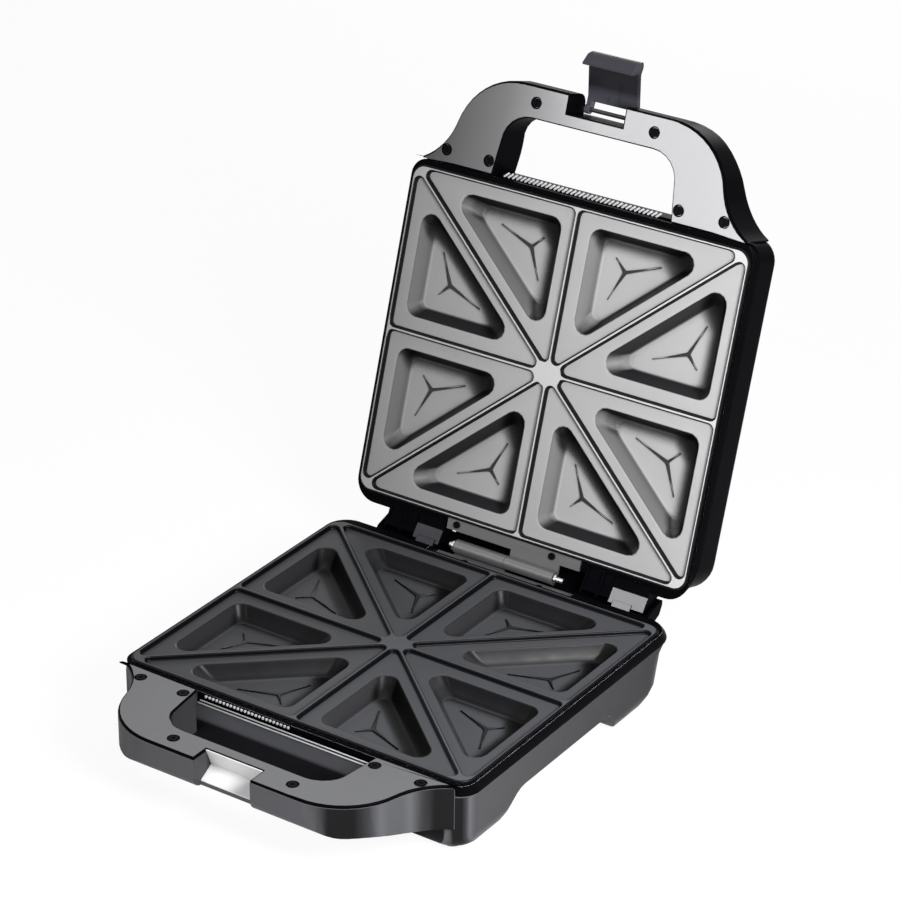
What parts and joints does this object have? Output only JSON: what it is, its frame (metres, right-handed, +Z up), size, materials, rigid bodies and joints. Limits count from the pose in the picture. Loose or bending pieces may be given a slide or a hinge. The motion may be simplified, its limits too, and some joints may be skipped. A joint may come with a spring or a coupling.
{
  "type": "sandwich toaster",
  "caption": "Countertop sandwich toaster standing open: hinged lid, two plates with triangular pockets, a loop handle on each half and a swinging latch.",
  "frame": {"origin": "centre of the bounding box on the plane that the feet stand on", "axes": "+Z up, -Y towards the handles, +X to the right seen from the handles"},
  "size_m": [0.27, 0.4408, 0.3758],
  "materials": {
    "base_body": "satin",
    "frame_black": "satin",
    "lid_body": "satin",
    "base_cover": "satin",
    "lid_cover": "satin",
    "dark_screw": "gloss",
    "catch_steel": "brushed",
    "upper_coating": "satin non-stick coating",
    "lower_coating": "satin non-stick coating",
    "zinc_screw": "zinc plated",
    "element_steel": "heat tinted",
    "sheet_steel": "mill",
    "bright_sheet": "bright",
    "ceramic": "matt ceramic",
    "fuse_metal": "satin",
    "brass": "plain",
    "rubber": "matt",
    "gland_black": "matt",
    "hinge_steel": "satin dark nickel",
    "pin_steel": "bright",
    "latch_pin_steel": "blackened",
    "red_lens": "clear",
    "green_lens": "clear",
    "lamp_glass": "clear",
    "latch_black": "gloss"
  },
  "bodies": {
    "base": {"base_shell": "base_body", "base_bezel": "frame_black", "hinge_guard": "frame_black", "guard_screws": "dark_screw", "base_handle_cover": "base_cover", "base_cover_screws": "dark_screw", "catch_plate": "catch_steel", "lower_plate": "lower_coating", "lower_plate_screws": "zinc_screw", "lower_element": "element_steel", "lower_clamp_bar": "sheet_steel", "heat_shield": "sheet_steel", "thermostat": "ceramic", "thermal_fuse": "fuse_metal", "terminal_block": "ceramic", "terminal_screws": "brass", "earth_tag": "brass", "rubber_feet": "rubber", "cord_gland": "gland_black", "lower_hinge_leaf": "hinge_steel", "lower_leaf_screws": "dark_screw", "hinge_pin": "pin_steel", "hinge_clips": "pin_steel"},
    "lid": {"lid_shell": "lid_body", "lid_bezel": "frame_black", "lid_handle_cover": "lid_cover", "lid_cover_screws": "dark_screw", "upper_plate": "upper_coating", "upper_plate_screws": "zinc_screw", "upper_element": "element_steel", "upper_clamp_bar": "sheet_steel", "reflector": "bright_sheet", "upper_hinge_leaf": "hinge_steel", "upper_leaf_screws": "dark_screw", "red_lens": "red_lens", "green_lens": "green_lens", "indicator_lamps": "lamp_glass", "latch_pin": "latch_pin_steel"},
    "latch": {"latch": "latch_black"}
  },
  "joints": [
    {"name": "lid_hinge", "type": "hinge", "parent": "base", "child": "lid", "pos_m": [0, 0.09834, 0.04834], "axis": [1, 0, 0], "range_deg": [0, 107.16]},
    {"name": "latch_hinge", "type": "hinge", "parent": "lid", "child": "latch", "pos_m": [0, 0.2115, 0.337], "axis": [1, 0, 0], "range_deg": [-30, 72.6]}
  ]
}
